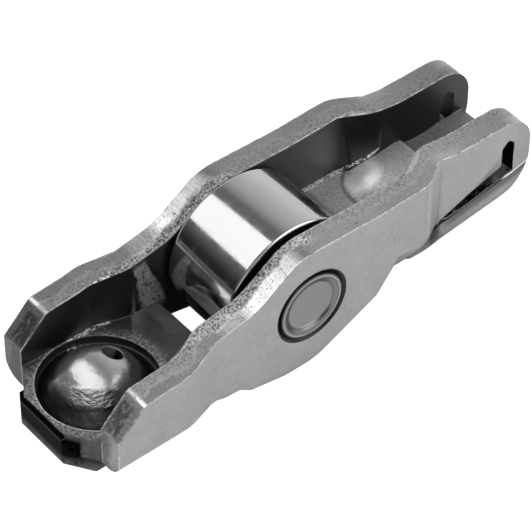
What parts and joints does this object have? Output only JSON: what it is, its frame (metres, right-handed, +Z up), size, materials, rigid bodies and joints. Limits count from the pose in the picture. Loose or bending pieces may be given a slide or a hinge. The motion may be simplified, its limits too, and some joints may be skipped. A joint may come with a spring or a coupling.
{
  "type": "rocker arm",
  "caption": "Roller finger follower rocker arm: folded steel channel with a ball socket, a needle roller on a staked axle, a valve pad and a spring clip.",
  "frame": {"origin": "centre of the ball socket that sits on the pivot", "axes": "+X along the arm from the socket to the valve end, +Z up to the cam side, +Y across the arm along the roller's axle"},
  "size_m": [0.0612, 0.0196, 0.017],
  "materials": {
    "arm_steel": "satin hardened sheet steel, fine pits, rough sheared edges",
    "axle_steel": "turned and staked ends",
    "roller_steel": "ground and polished bearing steel",
    "needle_steel": "ground bearing steel",
    "clip_steel": "black oxide spring steel"
  },
  "bodies": {
    "arm": {"arm_body": "arm_steel", "axle_pin": "axle_steel", "retainer_clip": "clip_steel"},
    "roller": {"roller_ring": "roller_steel"},
    "needle_set": {"needle_01": "needle_steel", "needle_02": "needle_steel", "needle_03": "needle_steel", "needle_04": "needle_steel", "needle_05": "needle_steel", "needle_06": "needle_steel", "needle_07": "needle_steel", "needle_08": "needle_steel", "needle_09": "needle_steel", "needle_10": "needle_steel", "needle_11": "needle_steel", "needle_12": "needle_steel", "needle_13": "needle_steel", "needle_14": "needle_steel", "needle_15": "needle_steel", "needle_16": "needle_steel", "needle_17": "needle_steel", "needle_18": "needle_steel"}
  },
  "joints": [
    {"name": "roller_spin", "type": "hinge", "parent": "arm", "child": "roller", "pos_m": [0.0215, 0, 0.0063], "axis": [0, 1, 0], "continuous": true},
    {"name": "needle_orbit", "type": "hinge", "parent": "arm", "child": "needle_set", "pos_m": [0.0215, 0, 0.0063], "axis": [0, 1, 0], "continuous": true}
  ],
  "couplings": [
    {"joint": "needle_orbit", "follows": "roller_spin", "ratio": 0.5833}
  ]
}
